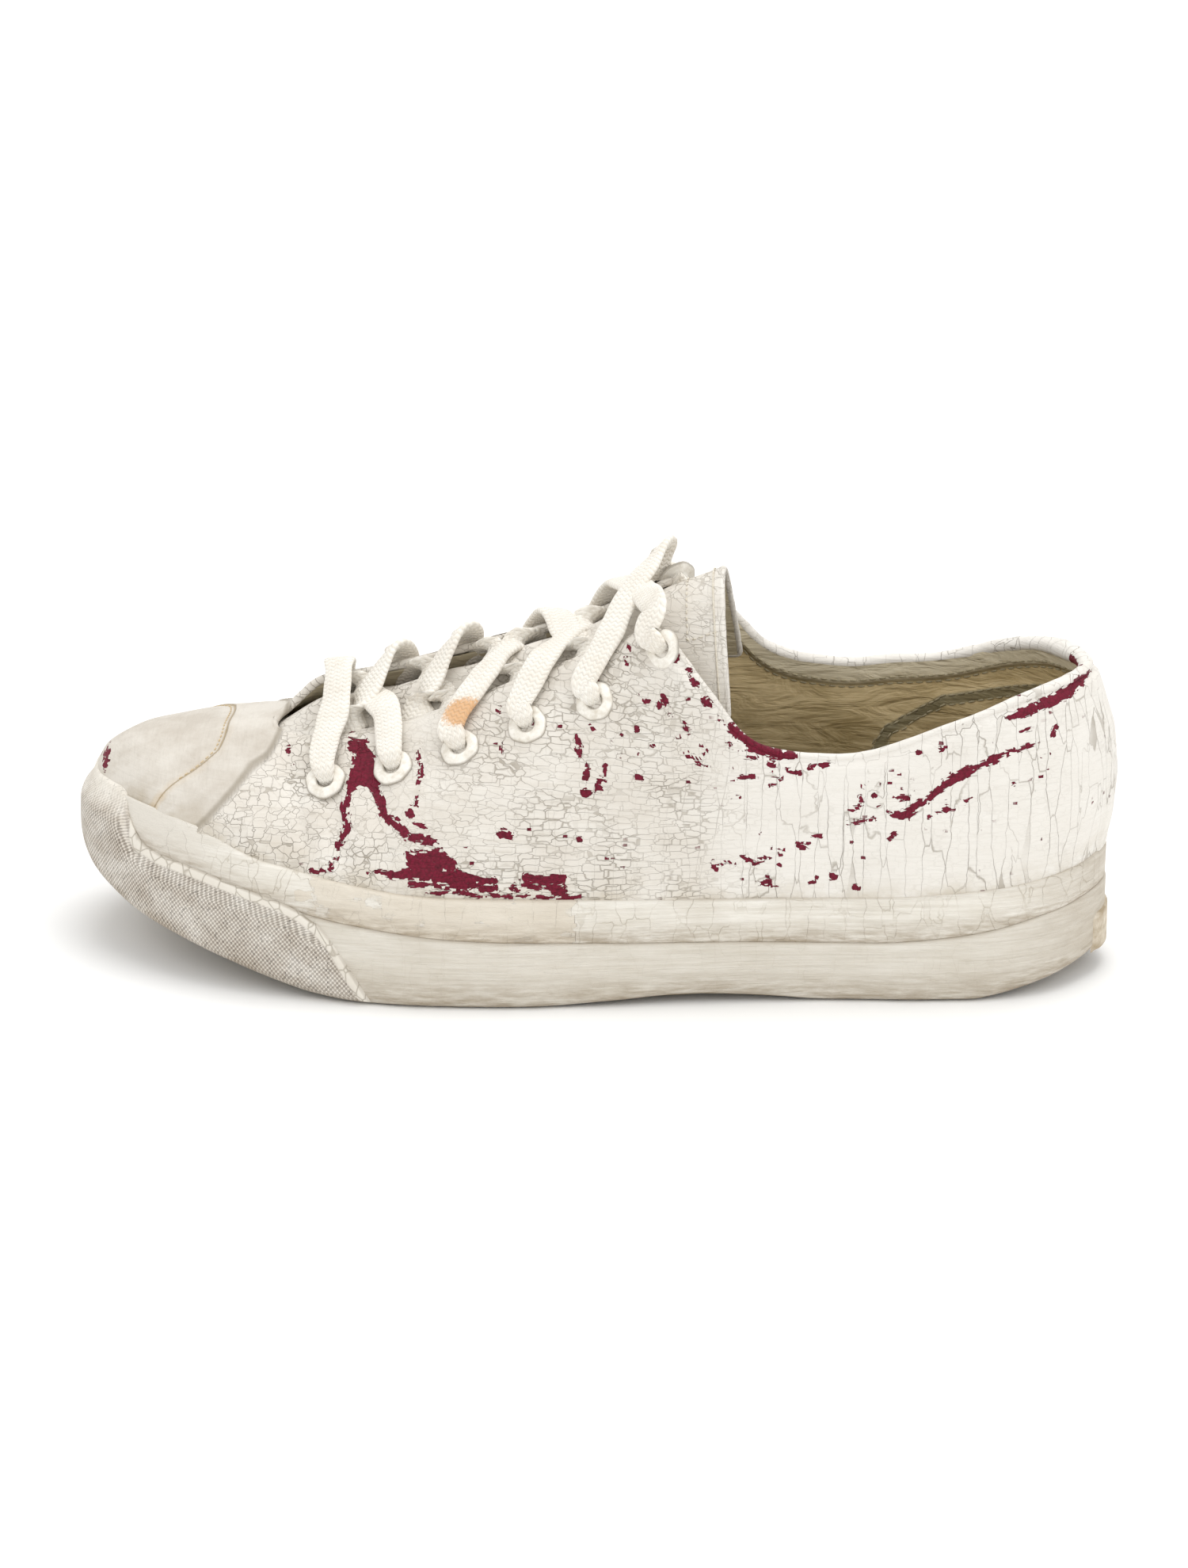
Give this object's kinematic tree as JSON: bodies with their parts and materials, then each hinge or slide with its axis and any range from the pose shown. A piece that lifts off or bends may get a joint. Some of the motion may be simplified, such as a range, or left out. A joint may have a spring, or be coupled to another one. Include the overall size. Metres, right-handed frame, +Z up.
{
  "type": "worn out sneaker",
  "caption": "Worn left low-top vulcanised sneaker: hollow leather upper, tongue, insole, foxed rubber sole with toe bumper, laced through eyelets.",
  "frame": {"origin": "centre of the bounding box in plan, on the ground under the sole", "axes": "+Z up; the toe points to -X and the heel to +X; the lateral side faces -Y and the medial side +Y"},
  "size_m": [0.2996, 0.1049, 0.116],
  "materials": {
    "outsole_rubber": "worn matt gum rubber",
    "foxing_rubber": "rubber tape under brushed, chipped white paint",
    "bumper_rubber": "finely knurled rubber, dirty",
    "painted_leather": "burgundy leather under cracked white paint",
    "tongue_leather": "painted leather with a tan lining",
    "insole_fabric": "worn matt lining fabric",
    "lace_cotton": "flat woven cotton, matt",
    "eyelet_metal": "steel under white paint, a little rust"
  },
  "bodies": {
    "root": {"outsole": "outsole_rubber", "foxing_lower": "foxing_rubber", "foxing_upper": "foxing_rubber", "toe_bumper": "bumper_rubber", "heel_label": "foxing_rubber", "upper": "painted_leather", "insole": "insole_fabric", "tongue": "tongue_leather", "laces": "lace_cotton", "eyelet_lateral_1": "eyelet_metal", "eyelet_lateral_2": "eyelet_metal", "eyelet_lateral_3": "eyelet_metal", "eyelet_lateral_4": "eyelet_metal", "eyelet_lateral_5": "eyelet_metal", "eyelet_lateral_6": "eyelet_metal", "eyelet_medial_1": "eyelet_metal", "eyelet_medial_2": "eyelet_metal", "eyelet_medial_3": "eyelet_metal", "eyelet_medial_4": "eyelet_metal", "eyelet_medial_5": "eyelet_metal", "eyelet_medial_6": "eyelet_metal"}
  },
  "joints": []
}
